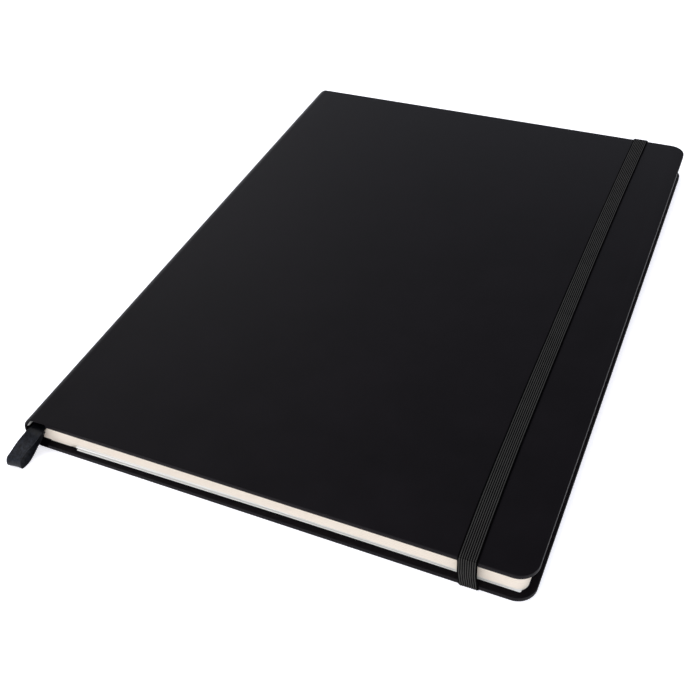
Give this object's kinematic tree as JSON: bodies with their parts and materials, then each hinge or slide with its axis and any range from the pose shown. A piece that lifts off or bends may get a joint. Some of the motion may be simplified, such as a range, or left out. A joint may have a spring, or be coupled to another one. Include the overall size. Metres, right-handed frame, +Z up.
{
  "type": "sketchbook",
  "caption": "Portrait casebound sketchbook with a black soft-touch case, rounded spine, cream sewn pages, elastic strap, ribbon bookmark and expanding back pocket.",
  "frame": {"origin": "centre of the back cover's underside, where the closed book rests", "axes": "+X from the spine to the fore edge, +Y from the tail to the head, +Z up from the back cover to the front cover"},
  "size_m": [0.2238, 0.3171, 0.0171],
  "materials": {
    "soft_touch_cover": "soft-touch matte imitation leather",
    "greyboard": "raw greyboard",
    "spine_card": "thin flexible card",
    "endpaper": "smooth uncoated cream paper",
    "drawing_paper": "uncoated cream drawing paper",
    "pocket_card": "smooth white card",
    "gusset_cloth": "fine white book cloth",
    "mull_cloth": "open starched gauze",
    "lining_paper": "brown kraft paper",
    "thread": "waxed linen thread",
    "endband_cloth": "woven black endband",
    "elastic": "ribbed woven elastic",
    "ribbon": "satin"
  },
  "bodies": {
    "back_cover": {"back_board": "greyboard", "back_cover_skin": "soft_touch_cover", "back_pastedown": "endpaper", "pocket_base": "pocket_card", "pocket_gusset_head": "gusset_cloth", "pocket_gusset_tail": "gusset_cloth", "strap_end_head": "elastic", "strap_end_tail": "elastic"},
    "pocket_panel": {"pocket_panel": "pocket_card"},
    "text_block": {"spine_skin": "soft_touch_cover", "spine_stiffener": "spine_card", "spine_mull": "mull_cloth", "spine_lining_paper": "lining_paper", "sewing_thread": "thread", "headband": "endband_cloth", "tailband": "endband_cloth", "section_2": "drawing_paper", "section_3": "drawing_paper", "section_4": "drawing_paper", "section_5": "drawing_paper", "section_6": "drawing_paper", "section_7": "drawing_paper", "section_8": "drawing_paper", "back_flyleaf": "endpaper", "ribbon_bookmark": "ribbon"},
    "front_cover": {"front_board": "greyboard", "front_cover_skin": "soft_touch_cover", "front_pastedown": "endpaper"},
    "front_flyleaf": {"front_flyleaf": "endpaper"},
    "drawing_sheet_1": {"drawing_sheet_1": "drawing_paper"},
    "drawing_sheet_2": {"drawing_sheet_2": "drawing_paper"},
    "first_section": {"section_1": "drawing_paper"},
    "strap": {"elastic_strap": "elastic"}
  },
  "joints": [
    {"name": "text_block_lift", "type": "hinge", "parent": "back_cover", "child": "text_block", "pos_m": [-0.1075, 0, 0], "axis": [0, 1, 0], "range_deg": [-60, 0]},
    {"name": "front_cover_hinge", "type": "hinge", "parent": "text_block", "child": "front_cover", "pos_m": [-0.105, 0, 0.0164], "axis": [0, -1, 0], "range_deg": [0, 180], "deforming": ["elastic_strap"]},
    {"name": "flyleaf_turn", "type": "hinge", "parent": "text_block", "child": "front_flyleaf", "pos_m": [-0.105, 0, 0.0164], "axis": [0, -1, 0], "range_deg": [0, 177.8]},
    {"name": "sheet_1_turn", "type": "hinge", "parent": "text_block", "child": "drawing_sheet_1", "pos_m": [-0.105, 0, 0.0164], "axis": [0, -1, 0], "range_deg": [0, 175.1]},
    {"name": "sheet_2_turn", "type": "hinge", "parent": "text_block", "child": "drawing_sheet_2", "pos_m": [-0.105, 0, 0.0164], "axis": [0, -1, 0], "range_deg": [0, 172.4]},
    {"name": "first_section_turn", "type": "hinge", "parent": "text_block", "child": "first_section", "pos_m": [-0.105, 0, 0.0164], "axis": [0, -1, 0], "range_deg": [0, 168.8]},
    {"name": "pocket_opening", "type": "hinge", "parent": "back_cover", "child": "pocket_panel", "pos_m": [0.105, 0, 0.0045], "axis": [0, 1, 0], "range_deg": [0, 4.3], "deforming": ["pocket_gusset_head", "pocket_gusset_tail"]},
    {"name": "strap_release", "type": "slide", "parent": "back_cover", "child": "strap", "axis": [0, 0, 1], "range_m": [-0.0178, 0]}
  ],
  "couplings": [
    {"joint": "flyleaf_turn", "follows": "front_cover_hinge", "ratio": 0.985},
    {"joint": "sheet_1_turn", "follows": "front_cover_hinge", "ratio": 0.97},
    {"joint": "sheet_2_turn", "follows": "front_cover_hinge", "ratio": 0.955},
    {"joint": "first_section_turn", "follows": "front_cover_hinge", "ratio": 0.935},
    {"joint": "pocket_opening", "follows": "text_block_lift", "ratio": -0.07},
    {"joint": "strap_release", "follows": "text_block_lift", "m_per_rad": 0.0168}
  ]
}
